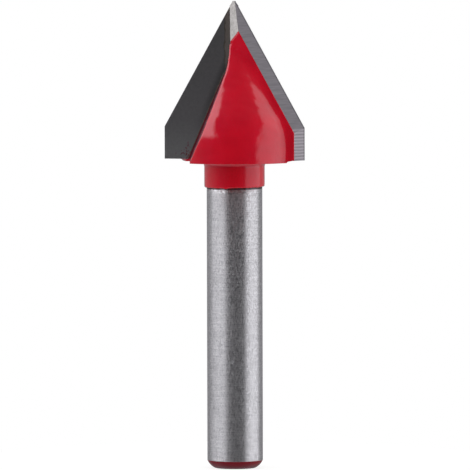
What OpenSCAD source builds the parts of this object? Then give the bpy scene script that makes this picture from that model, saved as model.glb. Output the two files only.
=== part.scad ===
// V groove router bit: a turned steel body with two brazed carbide cutting plates.
// The origin is the centre of the shank's flat end, and +Z runs up the axis to the point.
// Blade 1 cuts on the -X side and blade 2 on the +X side, half a turn apart.
// Seen from the point, the bit turns anticlockwise.

/* [Shank] */
// Diameter of the bare shank, a standard collet size
shank_d = 6; // [5:0.1:8]
// Length of the bare shank, from its flat end to the neck
shank_len = 30.3; // [20:0.1:60]
// Height of the bevel round the shank's end
end_bevel_h = 0.85; // [0.3:0.05:1.5]
// Depth of that bevel, towards the axis
end_bevel_w = 0.8; // [0.3:0.05:1.5]
// How far the bevel bulges out from a straight cone
end_bulge = 0.11; // [0.02:0.01:0.15]

/* [Neck] */
// Diameter of the painted neck between shank and head
neck_d = 6.5; // [6:0.1:9]
// Length of the neck
neck_len = 2.75; // [1:0.05:10]
// Size of the bevel that leads from the shank up to the neck
neck_bevel = 0.12; // [0.05:0.01:0.2]

/* [Cutting edges] */
// Diameter that the two edges sweep
cut_d = 16; // [14:0.1:22]
// Full angle of the V
v_angle = 60; // [50:1:75]
// Length of each edge's straight part, along the axis
edge_len = 3.5; // [1.5:0.1:6]
// Width of the blunt end of the point
point_w = 0.3; // [0.2:0.05:0.6]
// Back-off angle of the flank ground behind each edge's straight part
relief = 24.5; // [10:0.5:30]
// Back-off angle of the flank ground behind each edge's slanted part
v_relief = 29.5; // [10:0.5:32]

/* [Carbide plates] */
// Thickness of each plate
plate_t = 1.5; // [1.2:0.05:2]
// How far each plate's foot stands above the head's underside
plate_lift = 0.25; // [0.1:0.05:0.6]
// How far each plate's nose reaches past the axis at the point
nose_past = 0.5; // [0.3:0.05:0.8]
// Height of the nose, down from the sharp point of the V
nose_h = 5.8; // [4:0.1:7]
// Height where the plate's inner edge turns in towards its nose, down from the same point
turn_h = 8.2; // [7.5:0.1:10]
// Steel ledge between the gullet's corner and the plate's inner edge
root_ledge = 0.12; // [0.05:0.01:0.3]
// Thickness of the silver braze between a plate and its seat
braze_t = 0.08; // [0.03:0.01:0.15]

/* [Steel head] */
// How far the head lies inside the circle and cone that the edges sweep
head_in = 1.5; // [1.1:0.05:2]
// Bevel round the head's underside
head_bevel = 0.15; // [0.05:0.05:0.3]

/* [Gullets] */
// Distance from the axis to the gullet's wall, at the head's underside
gullet_foot = 5; // [4:0.05:6]
// Distance from the axis to the gullet's wall, at the point
gullet_web = 0.46; // [0.3:0.01:0.6]
// Lean of the wall's lower part towards the axis
gullet_lean = 22.5; // [18:0.5:26]
// Radius of the bend between the wall's leaning and upright parts
gullet_bend_r = 10; // [4:0.5:14]
// How far the wall is turned from square to the rake face
gullet_turn = 21.5; // [10:0.5:30]

/* [Point relief] */
// Depth of the small facet behind the point, down from the sharp point of the V
facet_h = 4.7; // [3.5:0.1:5.2]
// How far that facet is turned away from the back of the plate
facet_turn = 22; // [20:0.5:40]
// How far that facet leans back up to the point
facet_lean = 17; // [12:0.5:20]

/* [Hidden] */
$fn = 96;

// Radii
shank_r = shank_d / 2;
neck_r = neck_d / 2;
cut_r = cut_d / 2;
head_r = cut_r - head_in;
point_r = point_w / 2;

// Slope of the V, as radius gained for each unit of height
v_slope = tan(v_angle / 2);

// Heights along the axis
head_z = shank_len + neck_len;
foot_z = head_z + plate_lift;
corner_z = foot_z + edge_len;
apex_z = corner_z + cut_r / v_slope;
tip_z = apex_z - point_r / v_slope;
head_apex_z = apex_z - head_in / v_slope;
head_corner_z = head_apex_z - head_r / v_slope;
nose_z = apex_z - nose_h;
turn_z = apex_z - turn_h;

// The gullet's wall in its own flat view: w is its distance from the axis, z its height
lean_slope = tan(gullet_lean);
bend_corner_z = head_z + (gullet_foot - gullet_web) / lean_slope;
bend_reach = gullet_bend_r * tan(gullet_lean / 2);
bend_steps = 8;

// The gullet's corner line on the rake face, where the wall meets it
root_foot_x = gullet_foot / cos(gullet_turn);
root_slope = lean_slope / cos(gullet_turn);

// Cutting blocks are this long, and start this far outside what they cut
reach = 4 * cut_d;
past = 1;

// Points of an arc that joins (r1, z1) to (r2, z2) and bulges out by b, first point left out
function bulge_radius(c, b) = c * c / (8 * b) + b / 2;
function bulge_arc(r1, z1, r2, z2, b, steps) =
    let (
        c = norm([r2 - r1, z2 - z1]),
        rad = bulge_radius(c, b),
        half = asin(c / (2 * rad)),
        out = [(z2 - z1) / c, -(r2 - r1) / c],
        mid = [(r1 + r2) / 2, (z1 + z2) / 2],
        hub = mid + out * (b - rad),
        start = atan2(out[1], out[0]) - half
    )
    [for (i = [1:steps]) hub + rad * [cos(start + 2 * half * i / steps), sin(start + 2 * half * i / steps)]];

// Shank, neck and uncut head, turned from one bar
module turned_blank() {
    end_r = shank_r - end_bevel_w;
    rotate_extrude()
        polygon(concat(
            [[0, 0], [end_r, 0]],
            bulge_arc(end_r, 0, shank_r, end_bevel_h, end_bulge, 5),
            [
                [shank_r, shank_len],
                [neck_r - neck_bevel, shank_len],
                [neck_r, shank_len + neck_bevel],
                [neck_r, head_z],
                [head_r - head_bevel, head_z],
                [head_r, head_z + head_bevel],
                [head_r, head_corner_z],
                [0, head_apex_z]
            ]
        ));
}

// The shapes from here to the solid pieces are those of blade 2, on the +X side.
// Its rake face lies in the plane Y = 0 and looks along +Y.

// Side view of the gullet: a leaning wall, a bend and an upright wall
module gullet_outline() {
    low_z = head_z - past;
    high_z = tip_z + past;
    hub = [gullet_web + gullet_bend_r, bend_corner_z + bend_reach];
    polygon(concat(
        [[reach, high_z], [reach, low_z], [gullet_foot + past * lean_slope, low_z]],
        [for (i = [0:bend_steps])
            let (a = 180 + gullet_lean * (1 - i / bend_steps))
            hub + gullet_bend_r * [cos(a), sin(a)]],
        [[gullet_web, high_z]]
    ));
}

// The space milled out in front of the rake face
module gullet() {
    intersection() {
        rotate([90, 0, gullet_turn])
            translate([0, 0, -reach / 2])
            linear_extrude(height = reach)
            gullet_outline();
        translate([-reach, 0, 0])
            cube([2 * reach, reach, 2 * tip_z]);
    }
}

// Side view of a plate before its edges are ground, wider by grow along its inner edge
module plate_outline(low_z, grow) {
    ledge_x = root_foot_x + root_ledge - grow;
    polygon([
        [cut_r + past, low_z],
        [ledge_x - (low_z - head_z) * root_slope, low_z],
        [ledge_x - (turn_z - head_z) * root_slope, turn_z],
        [-nose_past - grow, nose_z],
        [-nose_past - grow, tip_z],
        [cut_r + past, tip_z]
    ]);
}

module plate_slab(low_z, grow, thickness) {
    rotate([90, 0, 0])
        linear_extrude(height = thickness)
        plate_outline(low_z, grow);
}

// Everything outside the straight and the slanted flank, each backed off by its own relief angle
module flank_cuts() {
    for (flank = [[0, relief], [-v_angle / 2, v_relief]])
        translate([cut_r, 0, corner_z])
        rotate([0, flank[0], 0])
        rotate([0, 0, -flank[1]])
        translate([0, -reach / 2, -reach / 2])
            cube(reach);
}

// The small facet ground on the plate's back, so that its heel clears the cut at the point
module facet_cut() {
    translate([0, -plate_t, apex_z - facet_h])
        rotate([0, 0, -facet_turn])
        rotate([-facet_lean, 0, 0])
        translate([-reach / 2, -reach, -reach / 2])
            cube(reach);
}

// The slot milled for the plate and its braze, open at the foot
module seat() {
    plate_slab(head_z - past, braze_t, plate_t + braze_t);
}

module blade_half_turn(side) {
    rotate([0, 0, side == 1 ? 180 : 0])
        children();
}

module carbide_tip(side) {
    color("dimgray")
        blade_half_turn(side)
        difference() {
            plate_slab(foot_z, 0, plate_t);
            flank_cuts();
            facet_cut();
            rotate([0, 0, 180])
                gullet();
        }
}

// Thin film of silver braze behind the plate and along its inner edge
module braze(side) {
    color("lightgoldenrodyellow")
        blade_half_turn(side)
        difference() {
            intersection() {
                plate_slab(foot_z, braze_t, plate_t + braze_t);
                turned_blank();
            }
            plate_slab(foot_z - past, 0, plate_t);
            rotate([0, 0, 180])
                gullet();
        }
}

// The finished steel body, one solid
module milled_body() {
    difference() {
        turned_blank();
        for (side = [1, 2])
            blade_half_turn(side) {
                gullet();
                seat();
            }
    }
}

// The same body between two heights, to give each stretch its own colour
module body_stretch(low_z, high_z) {
    intersection() {
        milled_body();
        translate([-reach / 2, -reach / 2, low_z])
            cube([reach, reach, high_z - low_z]);
    }
}

// Red paint covers the end bevel, the neck and the head, and the shank is bare steel
module body() {
    color("firebrick")
        body_stretch(0, end_bevel_h);
    color("silver")
        body_stretch(end_bevel_h, shank_len);
    color("firebrick")
        body_stretch(shank_len, tip_z);
}

body();
carbide_tip(1);  // carbide_tip_1
carbide_tip(2);  // carbide_tip_2
braze(1);  // braze_1
braze(2);  // braze_2
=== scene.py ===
# %% [markdown]
# # A V groove router bit, dressed for its picture
# The bit is a small cutting tool: a ground steel shank, a head dipped in red enamel, and two
# grey carbide plates brazed into it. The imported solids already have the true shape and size.
# This notebook adds what they lack: softened edges, the paint's own form, and the finishes.

# %% Load the solids
import bmesh
import bpy
import numpy as np
from math import cos, pi, radians, sin, tan
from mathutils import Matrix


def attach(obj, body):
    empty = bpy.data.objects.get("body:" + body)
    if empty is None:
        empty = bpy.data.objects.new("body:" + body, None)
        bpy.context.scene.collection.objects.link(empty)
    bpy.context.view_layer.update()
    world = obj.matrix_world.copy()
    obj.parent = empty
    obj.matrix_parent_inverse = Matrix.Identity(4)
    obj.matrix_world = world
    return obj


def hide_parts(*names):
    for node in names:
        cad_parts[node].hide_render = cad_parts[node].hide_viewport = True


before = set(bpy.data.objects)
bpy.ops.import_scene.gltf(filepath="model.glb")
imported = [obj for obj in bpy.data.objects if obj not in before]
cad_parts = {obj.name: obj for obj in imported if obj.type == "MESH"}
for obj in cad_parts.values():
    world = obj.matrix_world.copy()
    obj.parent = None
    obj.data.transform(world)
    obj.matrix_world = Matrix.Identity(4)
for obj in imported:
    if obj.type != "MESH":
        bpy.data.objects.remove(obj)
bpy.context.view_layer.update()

# %% [markdown]
# ## Sizes
# Blender works in metres and a router bit is measured in millimetres, so one constant turns the
# one into the other. The bit's own sizes stay in millimetres here, and are multiplied by MM where
# a mesh is made. The heights below are where the finish changes on the real bit.

# %% Name the sizes that the finishes need
MM = 0.001
END_BEVEL_Z = 0.85
NECK_Z = 30.3
HEAD_Z = 33.05
AXIS_UP = np.array([0.0, 0.0, 1.0])
print("bare shank runs from", END_BEVEL_Z, "to", NECK_Z, "mm")

# %% [markdown]
# ## Camera
# The photograph looks at the bit from a little above, with the right blade turned towards us. A
# long lens from well back keeps the shank's two sides parallel, as they are in the photograph.
# The camera is placed by angles round the bit, so that its distance can change on its own.

# %% Place the camera
VIEW_AZIMUTH = radians(19.3)
VIEW_ELEVATION = radians(3.2)
VIEW_DISTANCE = 750 * MM
PIXELS = 470
PIXELS_PER_MM = 9.27
LEAN = radians(0.14)
AIM_Z = 25.15 * MM
AIM_RIGHT = 0.04 * MM
SENSOR = 36.0


def place(name, data):
    """An object at the origin that shows the given mesh or camera."""
    made = bpy.data.objects.new(name, data)
    bpy.context.scene.collection.objects.link(made)
    return made


def direction(azimuth, elevation):
    """Unit vector from the bit: azimuth turns from -Y towards +X, elevation rises from the floor."""
    flat = cos(elevation)
    return np.array([sin(azimuth) * flat, -cos(azimuth) * flat, sin(elevation)])


def make_camera():
    """Long-lens camera whose frame is PIXELS wide at PIXELS_PER_MM in the plane of the bit's axis."""
    data = bpy.data.cameras.new("camera")
    frame_width = PIXELS / PIXELS_PER_MM * MM
    data.sensor_width = SENSOR
    data.lens = SENSOR * VIEW_DISTANCE / frame_width
    data.clip_start = 0.05
    data.clip_end = 20
    camera = place("camera", data)
    back = direction(VIEW_AZIMUTH, VIEW_ELEVATION)
    right = np.array([cos(VIEW_AZIMUTH), sin(VIEW_AZIMUTH), 0.0])
    up = np.cross(back, right)
    turned_right = right * cos(LEAN) - up * sin(LEAN)
    turned_up = up * cos(LEAN) + right * sin(LEAN)
    where = AIM_Z * AXIS_UP + right * AIM_RIGHT + back * VIEW_DISTANCE
    matrix = np.eye(4)
    matrix[:3, 0] = turned_right
    matrix[:3, 1] = turned_up
    matrix[:3, 2] = back
    matrix[:3, 3] = where
    camera.matrix_world = matrix.T
    bpy.context.scene.camera = camera
    print("lens:", round(data.lens), "mm, from", VIEW_DISTANCE, "m")


make_camera()

# %% [markdown]
# ## Tools for materials
# Colours are written as the sRGB hex values that a paint card or a picture gives, and one function
# turns them into the linear values that the shaders need. Another function adds any node, with its
# settings and with the values or the links that feed it.

# %% Colour and node helpers
def linear(hex_colour):
    """Linear RGBA from an sRGB hex string: below 0.04045 divide by 12.92, above it a 2.4 power."""
    srgb = np.array([int(hex_colour[i:i + 2], 16) / 255 for i in (1, 3, 5)])
    low = srgb / 12.92
    high = ((srgb + 0.055) / 1.055) ** 2.4
    return (*np.where(srgb <= 0.04045, low, high).tolist(), 1.0)


def feed(tree, socket, value):
    """Link a value that comes from a node to the socket, or set a plain value on it."""
    if isinstance(value, bpy.types.NodeSocket):
        tree.links.new(value, socket)
    else:
        socket.default_value = value


def add(tree, kind, inputs=None, **settings):
    """Add one node: settings are its properties, inputs its values or the sockets that feed them."""
    made = tree.nodes.new(kind)
    for key, value in settings.items():
        setattr(made, key, value)
    for key, value in (inputs or {}).items():
        feed(tree, made.inputs[key], value)
    return made


def new_material(name):
    """An empty material and its Principled shader, ready to be fed."""
    material = bpy.data.materials.new(name)
    material.use_nodes = True
    shader = material.node_tree.nodes["Principled BSDF"]
    return material, material.node_tree, shader


def object_mm(tree, scale=(1, 1, 1)):
    """Object coordinates in millimetres, each axis then multiplied by its own pattern scale."""
    spot = add(tree, "ShaderNodeTexCoord").outputs["Object"]
    grown = [s / MM for s in scale]
    return add(tree, "ShaderNodeMapping", {"Vector": spot, "Scale": grown}).outputs[0]


def split(tree, vector):
    """The X, Y and Z parts of a vector."""
    return add(tree, "ShaderNodeSeparateXYZ", {"Vector": vector}).outputs


def noise(tree, scale, detail=2.0, roughness=0.5):
    """Noise with its own number of waves per millimetre along each axis."""
    fed = {"Vector": object_mm(tree, scale), "Scale": 1.0, "Detail": detail, "Roughness": roughness}
    return add(tree, "ShaderNodeTexNoise", fed).outputs[0]


def ramp(tree, factor, stops):
    """Colour ramp with (position, hex colour) stops."""
    made = add(tree, "ShaderNodeValToRGB", {"Fac": factor})
    while len(made.color_ramp.elements) < len(stops):
        made.color_ramp.elements.new(0.5)
    for element, (position, colour) in zip(made.color_ramp.elements, stops):
        element.position = position
        element.color = linear(colour)
    return made.outputs["Color"]


def mix_colour(tree, factor, first, second):
    """Mix two colours by a factor. Sockets 0, 6 and 7 are the ones that the colour mix uses."""
    return add(tree, "ShaderNodeMix", {0: factor, 6: first, 7: second}, data_type="RGBA").outputs[2]


def remap(tree, value, low, high, out_low, out_high, smooth=False):
    """Carry a value from one range to another, held at its ends."""
    kind = "SMOOTHSTEP" if smooth else "LINEAR"
    fed = {"Value": value, "From Min": low, "From Max": high, "To Min": out_low, "To Max": out_high}
    return add(tree, "ShaderNodeMapRange", fed, interpolation_type=kind).outputs[0]


def maths(tree, operation, *values):
    """One Math node."""
    return add(tree, "ShaderNodeMath", dict(enumerate(values)), operation=operation).outputs[0]


print("the enamel's red is", [round(c, 3) for c in linear("#b20718")], "as a linear value")

# %% [markdown]
# ## Ground steel
# The shank is centreless ground: a wheel leaves fine scratches that run round it, and the surface
# is a bright, speckled grey. Real grinding marks are a few micrometres apart, which is too fine to
# show, so they are drawn about 0.1 mm apart here. A metal's colour is its reflectance, and the
# scratches spread a reflection across them, which the shader's anisotropy does. Just under the
# paint's edge the steel is painted dark in a thin ring: painted shade under the paint's lip.

# %% Make the steel
LIP_SHADE_STARTS = 0.18
LIP_SHADE_FULL = 0.1


def ground_steel():
    """Noise squeezed along Z gives the scratches round the shank, a plain noise gives the speckle."""
    material, tree, shader = new_material("ground_steel")
    scratch = noise(tree, (0.5, 0.5, 9), 3.0, 0.6)
    speckle = noise(tree, (6, 6, 5), 2.0, 0.7)
    both = maths(tree, "MULTIPLY_ADD", scratch, 0.3, maths(tree, "MULTIPLY", speckle, 0.7))
    colour = ramp(tree, both, [(0.36, "#bfbdbe"), (0.64, "#f0eeee")])
    height = split(tree, object_mm(tree))[2]
    # painted shade: a dark ring on the steel just under the paint's lip
    lip_shade = remap(tree, height, NECK_Z - LIP_SHADE_STARTS, NECK_Z - LIP_SHADE_FULL, 0, 0.75)
    colour = mix_colour(tree, lip_shade, colour, linear("#3a2a30"))
    tree.links.new(colour, shader.inputs["Base Color"])
    shader.inputs["Metallic"].default_value = 1.0
    tree.links.new(remap(tree, speckle, 0.4, 0.6, 0.3, 0.75), shader.inputs["Roughness"])
    shader.inputs["Anisotropic"].default_value = 0.85
    shader.inputs["Anisotropic Rotation"].default_value = 0.25
    round_axis = add(tree, "ShaderNodeTangent", direction_type="RADIAL", axis="Z")
    tree.links.new(round_axis.outputs[0], shader.inputs["Tangent"])
    bump = add(tree, "ShaderNodeBump", {"Height": both, "Strength": 0.12, "Distance": 0.02 * MM})
    tree.links.new(bump.outputs[0], shader.inputs["Normal"])
    return material


steel = ground_steel()
print("made", steel.name)

# %% [markdown]
# ## Red enamel
# The head is dipped in a glossy enamel. It has two layers to the eye: a deep red body, and a clear
# wet surface that mirrors the lit cloths round the bit as pink streaks, because a little white
# light is added to the red. The shader's coat is that second layer. Dipping leaves a faint ripple
# about 1 mm long. In the crease beside a rake face the red is painted dark: painted shade, where
# light hardly reaches. The neck's copy of the enamel is painted a little lighter, as painted light,
# and is duller. The end bevel's copy is painted darker, as painted shade on a face that looks down,
# and has hardly any shine.

# %% Make the enamel
CREASE_DEEP = 0.03
CREASE_ENDS = 0.25


def red_enamel(name, dark, light, blur=0.08, coat=1.0, shine=0.5):
    """Deep red under a clear coat, cloudy and rippled; painted shade near the plane Y = 0 of rake faces.
    """
    material, tree, shader = new_material(name)
    cloud = add(tree, "ShaderNodeTexNoise", {"Vector": object_mm(tree), "Scale": 0.5, "Detail": 3.0})
    colour = ramp(tree, cloud.outputs[0], [(0.3, dark), (0.7, light)])
    _, depth, up = split(tree, object_mm(tree))
    # painted shade: the red darkens close to the plane Y = 0 of the rake faces, above the head's foot
    crease = remap(tree, maths(tree, "ABSOLUTE", depth), CREASE_DEEP, CREASE_ENDS, 0.9, 0)
    crease = maths(tree, "MULTIPLY", crease, remap(tree, up, HEAD_Z + 0.1, HEAD_Z + 0.35, 0, 1))
    colour = mix_colour(tree, crease, colour, linear("#38181c"))
    tree.links.new(colour, shader.inputs["Base Color"])
    shader.inputs["Roughness"].default_value = 0.4
    shader.inputs["Specular IOR Level"].default_value = shine
    shader.inputs["Specular Tint"].default_value = (0.1, 0.0, 0.12, 1.0)
    shader.inputs["Coat Weight"].default_value = coat
    shader.inputs["Coat Roughness"].default_value = blur
    ripple = add(tree, "ShaderNodeTexNoise", {"Vector": object_mm(tree), "Scale": 0.9, "Detail": 2.0})
    waves = {"Height": ripple.outputs[0], "Strength": 0.5, "Distance": 0.07 * MM}
    bump = add(tree, "ShaderNodeBump", waves)
    tree.links.new(bump.outputs[0], shader.inputs["Normal"])
    tree.links.new(bump.outputs[0], shader.inputs["Coat Normal"])
    return material


enamel = red_enamel("red_enamel", "#b20718", "#be091b")
# a darker copy of the enamel for the shank's end: painted shade on faces that look down
shaded_end_enamel = red_enamel("shaded_end_enamel", "#8c0c1c", "#980e20", 0.1, 0.3, 0.3)
# a lighter copy of the enamel for the neck: painted light, with a duller coat
lit_neck_enamel = red_enamel("lit_neck_enamel", "#b90718", "#c5091b", 0.13, 0.75)
print("made", enamel.name, "and", shaded_end_enamel.name, "and", lit_neck_enamel.name)

# %% [markdown]
# ## Ground carbide
# Tungsten carbide is a darker metal than steel. A wheel that steps along the straight flanks leaves
# stripes about a third of a millimetre apart, and the slanted flanks are ground finer. The rake
# faces are lapped. Their grey darkens towards the point, and is painted darker beside the gullet,
# as painted shade from the lobe. A brown strip runs along the nose that the lap can't reach, and a
# few specks of red overspray lie at the foot. The gullet's corner is a straight line on the rake
# face, which the pattern follows.

# %% Helpers that find a place on a plate
STRIPE_PITCH = 0.33
CORNER_Z = 36.8
GULLET_FOOT = 5.0
GULLET_LEAN = radians(22.5)
GULLET_TURN = radians(21.5)
ROOT_SLOPE = tan(GULLET_LEAN) / cos(GULLET_TURN)
ROOT_AT_ZERO = GULLET_FOOT / cos(GULLET_TURN) + HEAD_Z * ROOT_SLOPE


def plate_place(tree):
    """Distance out along the rake face, depth behind it, height, and how squarely a face faces Y."""
    across, depth, up = split(tree, object_mm(tree))
    facing = split(tree, add(tree, "ShaderNodeTexCoord").outputs["Normal"])[1]
    outward = maths(tree, "MULTIPLY", across, maths(tree, "SIGN", facing))
    return outward, maths(tree, "ABSOLUTE", depth), up, maths(tree, "ABSOLUTE", facing)


# %% Colour the rake face and the flanks
STRIP_W = 1.3
SPRAY_X = 5.3
SPRAY_Z = 33.9


def rake_colour(tree, outward, up, grain):
    """Grey, darker upwards; painted shade by the gullet; then the brown strip, its border, the
    overspray.
    """
    rise = remap(tree, up, 33, 47, 0, 1)
    grey = ramp(tree, rise, [(0.07, "#b0afaf"), (0.17, "#a7a6a6"), (0.32, "#989697"),
                             (0.6, "#8e8c8d"), (0.95, "#878585")])
    # painted shade: darker beside the gullet's corner, where the lobe shades the rake face
    inner = maths(tree, "MULTIPLY_ADD", up, ROOT_SLOPE, maths(tree, "SUBTRACT", outward, ROOT_AT_ZERO))
    gullet_shade = remap(tree, inner, 0.2, 0.95, 1, 0)
    gullet_shade = maths(tree, "MULTIPLY", gullet_shade, remap(tree, up, 35.5, 40.0, 0, 0.5))
    grey = mix_colour(tree, gullet_shade, grey, linear("#1c1a1a"))
    waver = maths(tree, "MULTIPLY_ADD", noise(tree, (2, 2, 1.2), 3.0), 0.5, outward)
    strip = remap(tree, waver, STRIP_W, STRIP_W + 0.12, 1, 0)
    strip = maths(tree, "MULTIPLY", strip, remap(tree, up, 42.0, 44.5, 0, 1))
    border = remap(tree, waver, STRIP_W - 0.08, STRIP_W + 0.02, 0, 1)
    border = maths(tree, "MULTIPLY", strip, border)
    grey = mix_colour(tree, maths(tree, "MULTIPLY", strip, 0.85), grey, linear("#a3978e"))
    grey = mix_colour(tree, maths(tree, "MULTIPLY", border, 0.7), grey, linear("#4a403c"))
    near = maths(tree, "ADD", maths(tree, "ABSOLUTE", maths(tree, "SUBTRACT", outward, SPRAY_X)),
                 maths(tree, "ABSOLUTE", maths(tree, "SUBTRACT", up, SPRAY_Z)))
    specks = maths(tree, "SUBTRACT", noise(tree, (5, 5, 5)), maths(tree, "MULTIPLY", near, 0.13))
    spray = remap(tree, specks, 0.45, 0.52, 0, 0.8)
    grey = mix_colour(tree, spray, grey, linear("#a03a48"))
    return mix_colour(tree, remap(tree, grain, 0.3, 0.7, 0.16, 0), grey, (0, 0, 0, 1))


def flank_stripes(tree, up):
    """Wheel marks: even waves in height on the straight flank, fine faint lines on the slanted one."""
    waver = maths(tree, "MULTIPLY_ADD", noise(tree, (0.6, 0.6, 0.6)), 0.25, up)
    wave = maths(tree, "SINE", maths(tree, "MULTIPLY", waver, 2 * pi / STRIPE_PITCH))
    strong = maths(tree, "MULTIPLY", wave, noise(tree, (1.5, 1.5, 2.5)))
    fine = maths(tree, "SUBTRACT", noise(tree, (0.5, 0.5, 9)), 0.5)
    straight = remap(tree, up, CORNER_Z - 0.2, CORNER_Z, 1, 0)
    low = maths(tree, "MULTIPLY_ADD", strong, 0.55, 0.55)
    high = maths(tree, "MULTIPLY_ADD", fine, 0.6, 0.25)
    return add(tree, "ShaderNodeMix", {"Factor": straight, "A": high, "B": low}).outputs[0]


# %% Make the carbide
def ground_carbide():
    """Three finishes by the way a face looks: rake along Y, flank to the side, facet in between."""
    material, tree, shader = new_material("ground_carbide")
    outward, depth, up, square = plate_place(tree)
    grain = noise(tree, (3, 3, 3), 4.0, 0.7)
    rake = remap(tree, square, 0.90, 0.95, 0, 1)
    flank = remap(tree, square, 0.50, 0.55, 1, 0)
    stripes = flank_stripes(tree, up)
    facet_grey = ramp(tree, grain, [(0.35, "#878480"), (0.65, "#a19d99")])
    flank_grey = ramp(tree, stripes, [(0.0, "#716e70"), (1.0, "#b0a9ad")])
    colour = mix_colour(tree, rake, facet_grey, rake_colour(tree, outward, up, grain))
    edge = remap(tree, depth, 0.05, 0.2, 0.6, 0)
    flank_grey = mix_colour(tree, edge, flank_grey, linear("#39363a"))
    colour = mix_colour(tree, flank, colour, flank_grey)
    tree.links.new(colour, shader.inputs["Base Color"])
    shader.inputs["Metallic"].default_value = 1.0
    tree.links.new(remap(tree, rake, 0, 1, 0.5, 0.32), shader.inputs["Roughness"])
    height = maths(tree, "MULTIPLY_ADD", grain, 0.3, maths(tree, "MULTIPLY", stripes, flank))
    bump = add(tree, "ShaderNodeBump", {"Height": height, "Strength": 0.1, "Distance": 0.03 * MM})
    tree.links.new(bump.outputs[0], shader.inputs["Normal"])
    return material


carbide = ground_carbide()
print("made", carbide.name, "with stripes", STRIPE_PITCH, "mm apart")

# %% [markdown]
# ## Silver braze
# The filler that holds a plate is a silver alloy. It cools to a dull, slightly yellow grey, and
# the paint and the flux leave it dark.

# %% Make the braze
def silver_braze():
    """Dull yellow-grey metal, uneven where it froze."""
    material, tree, shader = new_material("silver_braze")
    lumps = add(tree, "ShaderNodeTexNoise", {"Vector": object_mm(tree), "Scale": 3.0, "Detail": 3.0})
    colour = ramp(tree, lumps.outputs[0], [(0.35, "#665f52"), (0.65, "#8f8775")])
    tree.links.new(colour, shader.inputs["Base Color"])
    shader.inputs["Metallic"].default_value = 1.0
    shader.inputs["Roughness"].default_value = 0.45
    return material


braze = silver_braze()
print("made", braze.name)

# %% [markdown]
# ## Soften the edges
# A solid's edges are perfectly sharp, and no real edge is: paint rounds over them, and a ground
# edge has a hair of a bevel that catches light. Each solid is copied, its loose triangles are
# merged, and a Bevel modifier rounds every edge that turns by more than a set angle.

# %% Copy a solid and give it soft edges
PLATE_T = 1.5
MERGE_WITHIN = 0.002 * MM
FLAT_WITHIN = radians(0.4)
SHARP_FROM = radians(12)


def face_values(mesh, kind):
    """Centre or normal of every face, one row a face."""
    values = np.zeros(len(mesh.polygons) * 3)
    mesh.polygons.foreach_get(kind, values)
    return values.reshape(-1, 3)


def softened(node, name, width, materials, pick):
    """Copy a CAD node, merge it and bevel its sharp edges; pick chooses each face's material."""
    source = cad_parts[node]
    mesh = source.data.copy()
    mesh.name = name
    work = bmesh.new()
    work.from_mesh(mesh)
    bmesh.ops.remove_doubles(work, verts=work.verts, dist=MERGE_WITHIN)
    bmesh.ops.dissolve_limit(work, angle_limit=FLAT_WITHIN, verts=work.verts, edges=work.edges)
    work.to_mesh(mesh)
    work.free()
    mesh.materials.clear()
    for material in materials:
        mesh.materials.append(material)
    chosen = pick(face_values(mesh, "center"), face_values(mesh, "normal"))
    mesh.polygons.foreach_set("material_index", chosen.astype(np.int32))
    mesh.polygons.foreach_set("use_smooth", np.ones(len(mesh.polygons), bool))
    piece = place(name, mesh)
    bevel = piece.modifiers.new("soft_edges", "BEVEL")
    bevel.width = width
    bevel.segments = 3
    bevel.limit_method = "ANGLE"
    bevel.angle_limit = SHARP_FROM
    bevel.harden_normals = False
    bevel.use_clamp_overlap = True
    weighted = piece.modifiers.new("even_shading", "WEIGHTED_NORMAL")
    weighted.keep_sharp = True
    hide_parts(node)
    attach(piece, "root")
    print(name, "has", len(mesh.polygons), "faces before its bevel")


def carbide_or_paint(centres, normals):
    """1, paint, on the back of the plate, which faces away from the rake face; 0, carbide, elsewhere."""
    depth = np.abs(centres[:, 1])
    return (depth > 0.99 * PLATE_T * MM) & (np.abs(normals[:, 1]) > 0.99)


def all_braze(centres, normals):
    """0, the only material, on every face."""
    return np.zeros(len(centres))


for side in (1, 2):
    softened("carbide_tip_%d" % side, "carbide_plate_%d" % side, 0.03 * MM,
             [carbide, enamel], carbide_or_paint)
    softened("braze_%d" % side, "braze_film_%d" % side, 0.01 * MM,
             [braze], all_braze)

# %% [markdown]
# ## The enamelled head
# The painted head is one continuous skin on the real bit. The enamel runs over the steel cone,
# fills the corner where the cone meets the back of the carbide plate, and rounds every edge it
# passes. A Bevel modifier can round an edge but can't fill a corner with a soft web of paint. So
# the head is worked out as a distance field: each surface is a signed distance, and the surfaces
# are joined by a smooth maximum or minimum, whose width is the radius of the paint. The gullet's
# wall is turned a little from the milled one, as if the paint had run thicker to one side, and
# above BARE_Z the nose of the carbide is bare, so there the skin dips just below it.

# %% Name the head's sizes, in millimetres
CUT_R = 8.0
HEAD_IN = 1.5
HEAD_R = CUT_R - HEAD_IN
FOOT_Z = 33.3
V_HALF = radians(30)
HEAD_APEX_Z = CORNER_Z + HEAD_R / tan(V_HALF)
RELIEF = radians(24.5)
V_RELIEF = radians(29.5)
GULLET_WEB = 0.46
GULLET_BEND_R = 10.0
FACET_H = 4.7
FACET_Z = CORNER_Z + CUT_R / tan(V_HALF) - FACET_H
FACET_TURN = radians(22)
FACET_LEAN = radians(17)
print("cone's point at", round(HEAD_APEX_Z, 3), "mm")

# %% Name the paint's own sizes, in millimetres
PAINT = 0.04
RIM_SINK = 0.01
FACET_SINK = 0.03
WALL_PAINT = 0.02
PAINT_TURN = radians(2.3)
EDGE_ROLL = 0.06
CONE_ROLL = 0.9
HEEL_ROLL = 0.1
FOOT_ROLL = 0.12
WALL_ROLL = 0.15
CORNER_FILL = 0.8
FILL_LOST = 0.6
BARE_Z = 45.7
BARE_DIP = 0.17
WAVE = 0.03


def climb(z, start, over):
    """0 up to the height start, then evenly up to 1 over the next stretch, and 1 above it."""
    return np.clip((z - start) / over, 0, 1)


print("paint fills the corner behind a plate over", CORNER_FILL, "mm")

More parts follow.
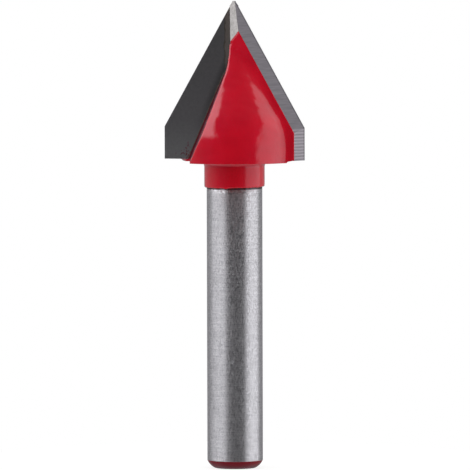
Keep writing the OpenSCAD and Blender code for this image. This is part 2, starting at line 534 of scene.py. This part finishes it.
# %% Distances to the head's surfaces
def smooth_max(a, b, width):
    """Larger of a and b, with the step between them rounded over width."""
    near = np.maximum(width - np.abs(a - b), 0) / width
    return np.maximum(a, b) + near * near * width / 4


def smooth_min(a, b, width):
    """Smaller of a and b, rounded in the same way."""
    return -smooth_max(-a, -b, width)


def gullet_reach(z):
    """Distance of the gullet's wall from the axis: a leaning line, then an arc, then upright."""
    corner = HEAD_Z + (GULLET_FOOT - GULLET_WEB) / tan(GULLET_LEAN)
    hub_z = corner + GULLET_BEND_R * tan(GULLET_LEAN / 2)
    below = np.clip(hub_z - z, 0, GULLET_BEND_R * sin(GULLET_LEAN))
    arc = GULLET_WEB + GULLET_BEND_R - np.sqrt(GULLET_BEND_R ** 2 - below ** 2)
    line = GULLET_FOOT - (z - HEAD_Z) * tan(GULLET_LEAN)
    return np.where(hub_z - z > GULLET_BEND_R * sin(GULLET_LEAN), line, arc)


def ripple(x, y, z):
    """Slow waves of the dipped paint: a sum of sines with seeded directions and lengths."""
    draw = np.random.default_rng(5)
    total = np.zeros(np.broadcast(x, y, z).shape)
    for _ in range(9):
        way = draw.normal(size=3)
        way = way / np.linalg.norm(way) * 2 * pi / draw.uniform(0.9, 3.2)
        total = total + np.sin(way[0] * x + way[1] * y + way[2] * z + draw.uniform(0, 2 * pi))
    return total / 9


def head_distance(x, y, z):
    """Distance out of the painted head, in the frame where the front lobe looks along -Y."""
    radius = np.hypot(x, y)
    cone = radius * cos(V_HALF) - (HEAD_APEX_Z - z) * sin(V_HALF)
    turned = smooth_max(radius - HEAD_R + RIM_SINK, cone, CONE_ROLL)
    turned = smooth_max(turned, HEAD_Z - z, EDGE_ROLL)
    reach = gullet_reach(z)
    outline = np.minimum(HEAD_R, (HEAD_APEX_Z - z) * tan(V_HALF))
    depth = np.sqrt(np.maximum(outline ** 2 - reach ** 2, 0))
    reach = reach * cos(PAINT_TURN) - depth * sin(PAINT_TURN)
    turn = GULLET_TURN - PAINT_TURN
    wall = (-x * cos(turn) - y * sin(turn) - reach) * cos(GULLET_LEAN)
    back = -y - PLATE_T - PAINT
    flank_straight = (x - CUT_R) * cos(RELIEF) - y * sin(RELIEF)
    slanted = (x - CUT_R) * cos(V_HALF) + (z - CORNER_Z) * sin(V_HALF)
    flank_v = slanted * cos(V_RELIEF) - y * sin(V_RELIEF)
    flank = np.maximum(flank_straight, flank_v)
    plate = smooth_max(back, flank, HEEL_ROLL)
    plate = smooth_max(plate, FOOT_Z - z, FOOT_ROLL)
    turned_back = -x * sin(FACET_TURN) - (y + PLATE_T) * cos(FACET_TURN)
    facet = turned_back * cos(FACET_LEAN) + (z - FACET_Z) * sin(FACET_LEAN)
    plate = np.maximum(plate, facet + FACET_SINK)
    both = smooth_min(turned, plate, CORNER_FILL - FILL_LOST * climb(z, 42.0, 3.0))
    cover = WALL_PAINT + 0.06 * climb(z, 40.0, 4.5)
    bare = BARE_DIP * climb(z, BARE_Z, 0.1)
    both = smooth_max(both, wall - cover + bare, WALL_ROLL)
    return both + WAVE * ripple(x, y, z) * climb(z, HEAD_Z, 0.6)


print("distance at the lobe's middle:", head_distance(np.array(0.0), np.array(-6.0), np.array(35.0)))

# %% [markdown]
# Each level of the head is star-shaped: a ray from the axis leaves it only once. So a level's
# outline is found by halving the ray's length until it lies on the surface, for all rays of all
# levels at the same time. The outline is then given evenly spaced points, closer at its bends.

# %% Work out the head's outline at each level
LOBE_POINTS = 200
RAYS = 1400
RAY_LENGTH = 12.0
HALVINGS = 34
BEND_WEIGHT = 0.25
BEND_LIMIT = 0.5
PAINT_TOP = 47.16
LEVEL_STEP = 0.1


def lobe_outlines(levels):
    """Points of the front lobe, one row a level, from the gullet's corner round to the land's edge."""
    z = levels[:, None]
    land_x = CUT_R - PLATE_T * tan(RELIEF)
    slant = CUT_R - PLATE_T * tan(V_RELIEF) / cos(V_HALF) - (z - CORNER_Z) * tan(V_HALF)
    last_x = np.minimum(land_x, slant)
    last_x = np.where(z < FOOT_Z, np.sqrt(HEAD_R ** 2 - PLATE_T ** 2), last_x)
    last = pi - np.arctan2(PLATE_T, last_x)
    turn = np.linspace(0, 1, RAYS)[None, :] * last
    low = np.zeros_like(turn)
    high = np.full_like(turn, RAY_LENGTH)
    for _ in range(HALVINGS):
        middle = (low + high) / 2
        inside = head_distance(-middle * np.cos(turn), -middle * np.sin(turn), z) < 0
        low = np.where(inside, middle, low)
        high = np.where(inside, high, middle)
    x = -low * np.cos(turn)
    y = -low * np.sin(turn)
    dx = np.diff(x, axis=1)
    dy = np.diff(y, axis=1)
    step = np.hypot(dx, dy)
    heading = np.unwrap(np.arctan2(dy, dx), axis=1)
    bend = np.abs(np.diff(heading, axis=1, prepend=heading[:, :1]))
    weight = np.cumsum(step + BEND_WEIGHT * np.minimum(bend, BEND_LIMIT), axis=1)
    weight = np.concatenate([np.zeros((len(levels), 1)), weight], axis=1)
    even = np.linspace(0, 1, LOBE_POINTS)
    outlines = np.zeros((len(levels), LOBE_POINTS, 3))
    for row in range(len(levels)):
        at = even * weight[row, -1]
        outlines[row, :, 0] = np.interp(at, weight[row], x[row])
        outlines[row, :, 1] = np.interp(at, weight[row], y[row])
    outlines[:, :, 2] = levels[:, None]
    return outlines


def both_lobes(outlines):
    """Whole outline of each level: the front lobe, then the same turned half round the axis."""
    turned = outlines * np.array([-1.0, -1.0, 1.0])
    return np.concatenate([outlines, turned], axis=1)


roll = HEAD_Z + EDGE_ROLL * (1 - np.cos(np.linspace(0.05, 0.5, 6) * pi))
rise = np.arange(roll[-1] + LEVEL_STEP, PAINT_TOP, LEVEL_STEP)
levels = np.concatenate([roll, rise])
head_rows = both_lobes(lobe_outlines(levels))
print("levels:", len(levels), "points each:", head_rows.shape[1])

# %% [markdown]
# Below the head the skin goes on over the neck. The paint's lower edge is where the dip ended: it
# stands a little proud of the steel, wavers up and down, and hangs in one small drip. Between the
# two lobes the skin runs out of sight inside the carbide, and comes back over the narrow ledge of
# steel beside the plate's inner edge.

# %% Work out the neck, and close the skin
GAP_POINTS = 6
LEDGE = 0.12
LEDGE_PAST = 0.1
LEDGE_SINK = 0.004
NECK_R = 3.25
NECK_PAINT = 0.01
NECK_FILLET = 0.5
LIP_R = 0.16
DRIP_AT = radians(-18)


def across_plate(done, following):
    """Straight runs from a lobe's end, inside the plate to its inner edge, and over the ledge."""
    corner = following[:, :1]
    side = np.sign(corner[:, :, 0])
    line = ROOT_AT_ZERO + LEDGE - corner[:, :, 2] * ROOT_SLOPE
    edge = np.maximum(np.abs(corner[:, :, 0]), line) + LEDGE_PAST
    turn = np.stack([side * edge, -side * LEDGE_SINK, corner[:, :, 2]], axis=-1)
    share = (np.arange(1, GAP_POINTS + 1) / GAP_POINTS)[None, :, None]
    return np.concatenate([done[:, -1:] * (1 - share) + turn * share,
                           turn * (1 - share[:, :-1]) + corner * share[:, :-1]], axis=1)


def fill_gaps(rows):
    """Join each lobe's end to the next lobe, at both plates."""
    half = rows.shape[1] // 2
    first, second = rows[:, :half], rows[:, half:]
    parts = [first, across_plate(first, second), second, across_plate(second, first)]
    return np.concatenate(parts, axis=1)


def paint_edge(angle):
    """Height of the paint's lower edge: a slow waver, faster small ones and a drip."""
    seen = angle + pi / 2 - VIEW_AZIMUTH
    waver = 0.04 + 0.04 * np.sin(seen) + 0.012 * np.sin(5 * seen + 1) + 0.008 * np.sin(11 * seen)
    off = np.angle(np.exp(1j * (seen - DRIP_AT)))
    return NECK_Z + waver - 0.07 * np.exp(-(off / 0.09) ** 2)


def neck_rows(outline):
    """Rings from the hidden bottom, over the rolled lip, up the neck and out along the underside."""
    angle = np.arctan2(outline[:, 1], outline[:, 0])
    around = np.stack([np.cos(angle), np.sin(angle)], axis=1)
    lip = paint_edge(angle) + LIP_R
    top = HEAD_Z - NECK_FILLET
    start = NECK_R + NECK_PAINT
    rings = []

    def ring(radius, height):
        flat = around * np.broadcast_to(radius, angle.shape)[:, None]
        rings.append(np.column_stack([flat, np.broadcast_to(height, angle.shape)]))

    ring(2.9, lip + 0.04)
    for turn in np.linspace(-0.5 * pi, 0, 5):
        ring(NECK_R - LIP_R + LIP_R * np.cos(turn), lip + LIP_R * np.sin(turn))
    for share in np.linspace(0.12, 1, 12):
        ring(start, lip + (top - lip) * share)
    for turn in np.linspace(0.1, 0.5, 9) * pi:
        ring(start + NECK_FILLET * (1 - np.cos(turn)), top + NECK_FILLET * np.sin(turn))
    outer = np.hypot(outline[:, 0], outline[:, 1])
    for share in (0.3, 0.6, 0.85):
        ring(start + NECK_FILLET + (outer - start - NECK_FILLET) * share, HEAD_Z)
    return np.stack(rings)


def closed_tube(name, rows, low_pole, high_pole):
    """Mesh of rings stacked from bottom to top, closed by a pole at each end, in millimetres."""
    count, around = rows.shape[:2]
    points = np.concatenate([rows.reshape(-1, 3), [low_pole], [high_pole]]) * MM
    index = np.arange(count * around).reshape(count, around)
    following = np.roll(index, -1, axis=1)
    quads = np.stack([index[:-1], following[:-1], following[1:], index[1:]], axis=-1).reshape(-1, 4)
    low = np.stack([following[0], index[0], np.full(around, count * around)], axis=-1)
    high = np.stack([index[-1], following[-1], np.full(around, count * around + 1)], axis=-1)
    mesh = bpy.data.meshes.new(name)
    mesh.from_pydata(points.tolist(), [], quads.tolist() + low.tolist() + high.tolist())
    mesh.polygons.foreach_set("use_smooth", np.ones(len(mesh.polygons), bool))
    mesh.update()
    return place(name, mesh)


def finish_by_height(piece, height, above, below):
    """One material on the faces whose centre lies above the height, another on those below it."""
    piece.data.materials.append(above)
    piece.data.materials.append(below)
    chosen = face_values(piece.data, "center")[:, 2] < height * MM
    piece.data.polygons.foreach_set("material_index", chosen.astype(np.int32))
    print(piece.name, "has", len(chosen), "faces,", int(chosen.sum()), "of them in", below.name)


head_rows = fill_gaps(head_rows)
skin_rows = np.concatenate([neck_rows(head_rows[0]), head_rows])
head = closed_tube("enamelled_head", skin_rows, [0, 0, NECK_Z + 0.4], [0, 0, levels[-1] + 0.02])
# the neck's faces take the lighter copy of the enamel, painted light
finish_by_height(head, HEAD_Z - NECK_FILLET, enamel, lit_neck_enamel)
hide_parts("body")
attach(head, "root")

# %% [markdown]
# ## The shank
# The shank is one turned and ground bar, so it is a profile carried round the axis. Its end has a
# bulging bevel, and that bevel and the end's flat face are dipped in the enamel: a darker copy of
# it, painted shade, with hardly any shine.

# %% Turn the shank
SHANK_R = 3.0
SHANK_TOP = 30.6
END_BEVEL_W = 0.8
END_BULGE = 0.11


def shank_profile():
    """Radius and height from the end's flat face, round the bulging bevel and up the ground bar."""
    turn = np.linspace(0, 1, 9)
    bulge = END_BULGE * 4 * turn * (1 - turn)
    chord = np.hypot(END_BEVEL_W, END_BEVEL_Z)
    radius = SHANK_R - END_BEVEL_W + END_BEVEL_W * turn + bulge * END_BEVEL_Z / chord
    height = END_BEVEL_Z * turn - bulge * END_BEVEL_W / chord
    bar = np.concatenate([[0.9, 1.0, 1.3], np.linspace(2, SHANK_TOP, 30)])
    radius = np.concatenate([[SHANK_R / 2], radius, np.full(len(bar), SHANK_R)])
    height = np.concatenate([[0.0], height, bar])
    return radius, np.maximum(height, 0)


def make_shank():
    """Surface of revolution: x = radius * cos(angle), y = radius * sin(angle), z = height."""
    radius, height = shank_profile()
    angle = np.linspace(0, 2 * pi, 160, endpoint=False)
    rows = np.zeros((len(radius), len(angle), 3))
    rows[:, :, 0] = radius[:, None] * np.cos(angle)
    rows[:, :, 1] = radius[:, None] * np.sin(angle)
    rows[:, :, 2] = height[:, None]
    piece = closed_tube("ground_shank", rows, [0, 0, 0], [0, 0, height[-1]])
    # the end bevel and the end's face take the darker copy of the enamel, painted shade
    finish_by_height(piece, END_BEVEL_Z, steel, shaded_end_enamel)
    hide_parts("body")
    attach(piece, "root")


make_shank()

# %% [markdown]
# ## Floor
# The bit stands on a round pale turntable, the kind that goes into a light tent. It lies a hair
# below the shank's end, so that the two faces don't share a plane. Its paint is a middle grey that
# takes the shadow, and a glow that only the eye sees makes it pale without lighting the bit. A
# reflection doesn't show it: the tent's own glow from below stands in for it.

# %% Make the floor
FLOOR_R = 32 * MM
FLOOR_GLOW = 0.84
FLOOR_GAP = 0.01 * MM


def seen_by_eye(tree):
    """1 for a ray of the camera, of a reflection or through a clear material, 0 for one of light."""
    path = add(tree, "ShaderNodeLightPath")
    seen = maths(tree, "MAXIMUM", path.outputs["Is Camera Ray"], path.outputs["Is Glossy Ray"])
    return maths(tree, "MAXIMUM", seen, path.outputs["Is Transmission Ray"])


def make_floor():
    """A disc, one flat face: x = r cos(turn), y = r sin(turn), just below z = 0."""
    steps = 96
    turn = np.linspace(0, 2 * pi, steps, endpoint=False)
    low = np.full(steps, -FLOOR_GAP)
    rim = np.stack([FLOOR_R * np.cos(turn), FLOOR_R * np.sin(turn), low], axis=1)
    mesh = bpy.data.meshes.new("turntable")
    mesh.from_pydata(rim.tolist(), [], [list(range(steps))])
    floor = place("turntable", mesh)
    material, tree, shader = new_material("pale_floor")
    shader.inputs["Base Color"].default_value = linear("#707070")
    shader.inputs["Roughness"].default_value = 0.9
    shader.inputs["Specular IOR Level"].default_value = 0.1
    shader.inputs["Emission Color"].default_value = (1, 1, 1, 1)
    glow = maths(tree, "MULTIPLY", seen_by_eye(tree), FLOOR_GLOW)
    tree.links.new(glow, shader.inputs["Emission Strength"])
    mesh.materials.append(material)
    floor.visible_glossy = False


make_floor()
print("floor radius in mm:", FLOOR_R / MM)

# %% [markdown]
# ## World
# The world lights the bit softly from above, and from low on the right and on the left, as pale
# cloths and a pale table do. It shows as plain white where the camera, a reflection or a clear
# material looks at it.

# %% Make the world
LIGHT_LEVEL = 0.4
LIGHT_RISE = 0.95
LIGHT_RIGHT = 2.1
LIGHT_LEFT = 1.8
LIGHT_DIP = radians(32)


def turned_axes(tree):
    """Object coordinates turned so that X runs to the right and Y away, as the photograph sees them."""
    spot = add(tree, "ShaderNodeTexCoord").outputs["Object"]
    turn = {"Vector": spot, "Axis": AXIS_UP.tolist(), "Angle": -VIEW_AZIMUTH}
    return split(tree, add(tree, "ShaderNodeVectorRotate", turn).outputs[0])


def make_world():
    """Glow in direction d: level + rise * height, plus a square of d's part to the right or the left."""
    world = bpy.data.worlds.new("white_room")
    bpy.context.scene.world = world
    world.use_nodes = True
    tree = world.node_tree
    background = tree.nodes["Background"]
    background.inputs["Color"].default_value = (1, 1, 1, 1)
    right, _, height = turned_axes(tree)
    light = maths(tree, "MULTIPLY_ADD", height, LIGHT_RISE, LIGHT_LEVEL)
    light = maths(tree, "MAXIMUM", light, 0.0)
    for side, strength in ((1, LIGHT_RIGHT), (-1, LIGHT_LEFT)):
        low = maths(tree, "MULTIPLY", height, -sin(LIGHT_DIP))
        toward = maths(tree, "MULTIPLY_ADD", right, side * cos(LIGHT_DIP), low)
        toward = maths(tree, "MAXIMUM", toward, 0.0)
        light = maths(tree, "MULTIPLY_ADD", maths(tree, "MULTIPLY", toward, toward), strength, light)
    both = add(tree, "ShaderNodeMix", {"Factor": seen_by_eye(tree), "A": light, "B": 1.0})
    tree.links.new(both.outputs[0], background.inputs["Strength"])
    world.cycles.sampling_method = "NONE"


make_world()
print("world light: level", LIGHT_LEVEL, "rising by", LIGHT_RISE)
print("from the sides:", LIGHT_LEFT, "left,", LIGHT_RIGHT, "right")

# %% [markdown]
# ## Light tent
# Polished metal has no look of its own: it shows what stands around it. Small tools are
# photographed in a tent, with a lit cloth on the left and one on the right, a dark gap in front
# for the lens, shade behind, and light that comes back from the table below. The tent here is a
# sphere that only reflections can see, and its glow is worked out from the direction: azimuth is
# counted from the camera, positive to the right.

# %% Make the tent
TENT_R = 1.0
FRONT_GLOW = 0.05
BACK_GLOW = 0.33
LOW_GLOW = 0.8
# Each cloth: azimuths of its outer and inner side, turn of the inner side for each degree of
# height, elevations of its foot and top, glow
CLOTHS = {
    "left": (-117, -35, -0.2, 14, 70, 2.8),
    "right": (115, 44, 0.6, -25, 70, 1.35),
}
CLOTH_EDGE = 7


def make_tent():
    """Sphere: x = r cos(el) cos(az), y = r cos(el) sin(az), z = r sin(el), facing inwards."""
    rows = 24
    columns = 48
    elevation = np.linspace(-pi / 2, pi / 2, rows + 1)[1:-1]
    azimuth = np.linspace(0, 2 * pi, columns, endpoint=False)
    el, az = np.meshgrid(elevation, azimuth, indexing="ij")
    ring = np.stack([np.cos(el) * np.cos(az), np.cos(el) * np.sin(az), np.sin(el)], axis=-1)
    points = np.concatenate([ring.reshape(-1, 3), [[0, 0, -1]], [[0, 0, 1]]]) * TENT_R
    index = np.arange((rows - 1) * columns).reshape(rows - 1, columns)
    following = np.roll(index, -1, axis=1)
    quads = np.stack([index[:-1], index[1:], following[1:], following[:-1]], axis=-1).reshape(-1, 4)
    low = len(points) - 2
    high = len(points) - 1
    cap_low = [[low, int(a), int(b)] for a, b in zip(index[0], following[0])]
    cap_high = [[high, int(b), int(a)] for a, b in zip(index[-1], following[-1])]
    mesh = bpy.data.meshes.new("light_tent")
    mesh.from_pydata(points.tolist(), [], quads.tolist() + cap_low + cap_high)
    tent = place("light_tent", mesh)
    mesh.materials.append(tent_glow())
    for ray in ("camera", "diffuse", "transmission", "volume_scatter", "shadow"):
        setattr(tent, "visible_" + ray, False)


def step(tree, value, edge, outward):
    """0 before the edge and 1 past it, in the outward direction, with a soft run between."""
    low, high = (0, 1) if outward > 0 else (1, 0)
    return remap(tree, value, edge - CLOTH_EDGE, edge + CLOTH_EDGE, low, high, smooth=True)


def tent_glow():
    """Glow by direction: the largest of a base from front to back, the table's and each cloth's."""
    material = bpy.data.materials.new("tent_glow")
    material.use_nodes = True
    tree = material.node_tree
    tree.nodes.remove(tree.nodes["Principled BSDF"])
    x, y, z = turned_axes(tree)
    azimuth = maths(tree, "DEGREES", maths(tree, "ARCTAN2", x, maths(tree, "MULTIPLY", y, -1.0)))
    elevation = maths(tree, "DEGREES", maths(tree, "ARCSINE", maths(tree, "DIVIDE", z, TENT_R)))
    glow = remap(tree, maths(tree, "ABSOLUTE", azimuth), 60, 130, FRONT_GLOW, BACK_GLOW, smooth=True)
    glow = maths(tree, "MAXIMUM", glow, remap(tree, elevation, -50, -20, LOW_GLOW, 0, smooth=True))
    raised = maths(tree, "MAXIMUM", elevation, 0.0)
    for outer, inner, lean, foot, top, strength in CLOTHS.values():
        leaned = maths(tree, "MULTIPLY_ADD", raised, -lean, azimuth)
        across = maths(tree, "MULTIPLY", step(tree, azimuth, outer, -outer),
                       step(tree, leaned, inner, outer))
        upright = maths(tree, "MULTIPLY", step(tree, elevation, foot, 1), step(tree, elevation, top, -1))
        lit = maths(tree, "MULTIPLY", maths(tree, "MULTIPLY", across, upright), strength)
        glow = maths(tree, "MAXIMUM", glow, lit)
    emission = add(tree, "ShaderNodeEmission", {"Color": (0.97, 0.98, 1.03, 1), "Strength": glow})
    tree.links.new(emission.outputs[0], tree.nodes["Material Output"].inputs["Surface"])
    return material


make_tent()
print("tent cloths:", {name: cloth[:2] for name, cloth in CLOTHS.items()})

# %% [markdown]
# ## Finish
# Standard view transform, so that a colour renders as it is written.

# %% Set the view
bpy.context.scene.view_settings.view_transform = "Standard"
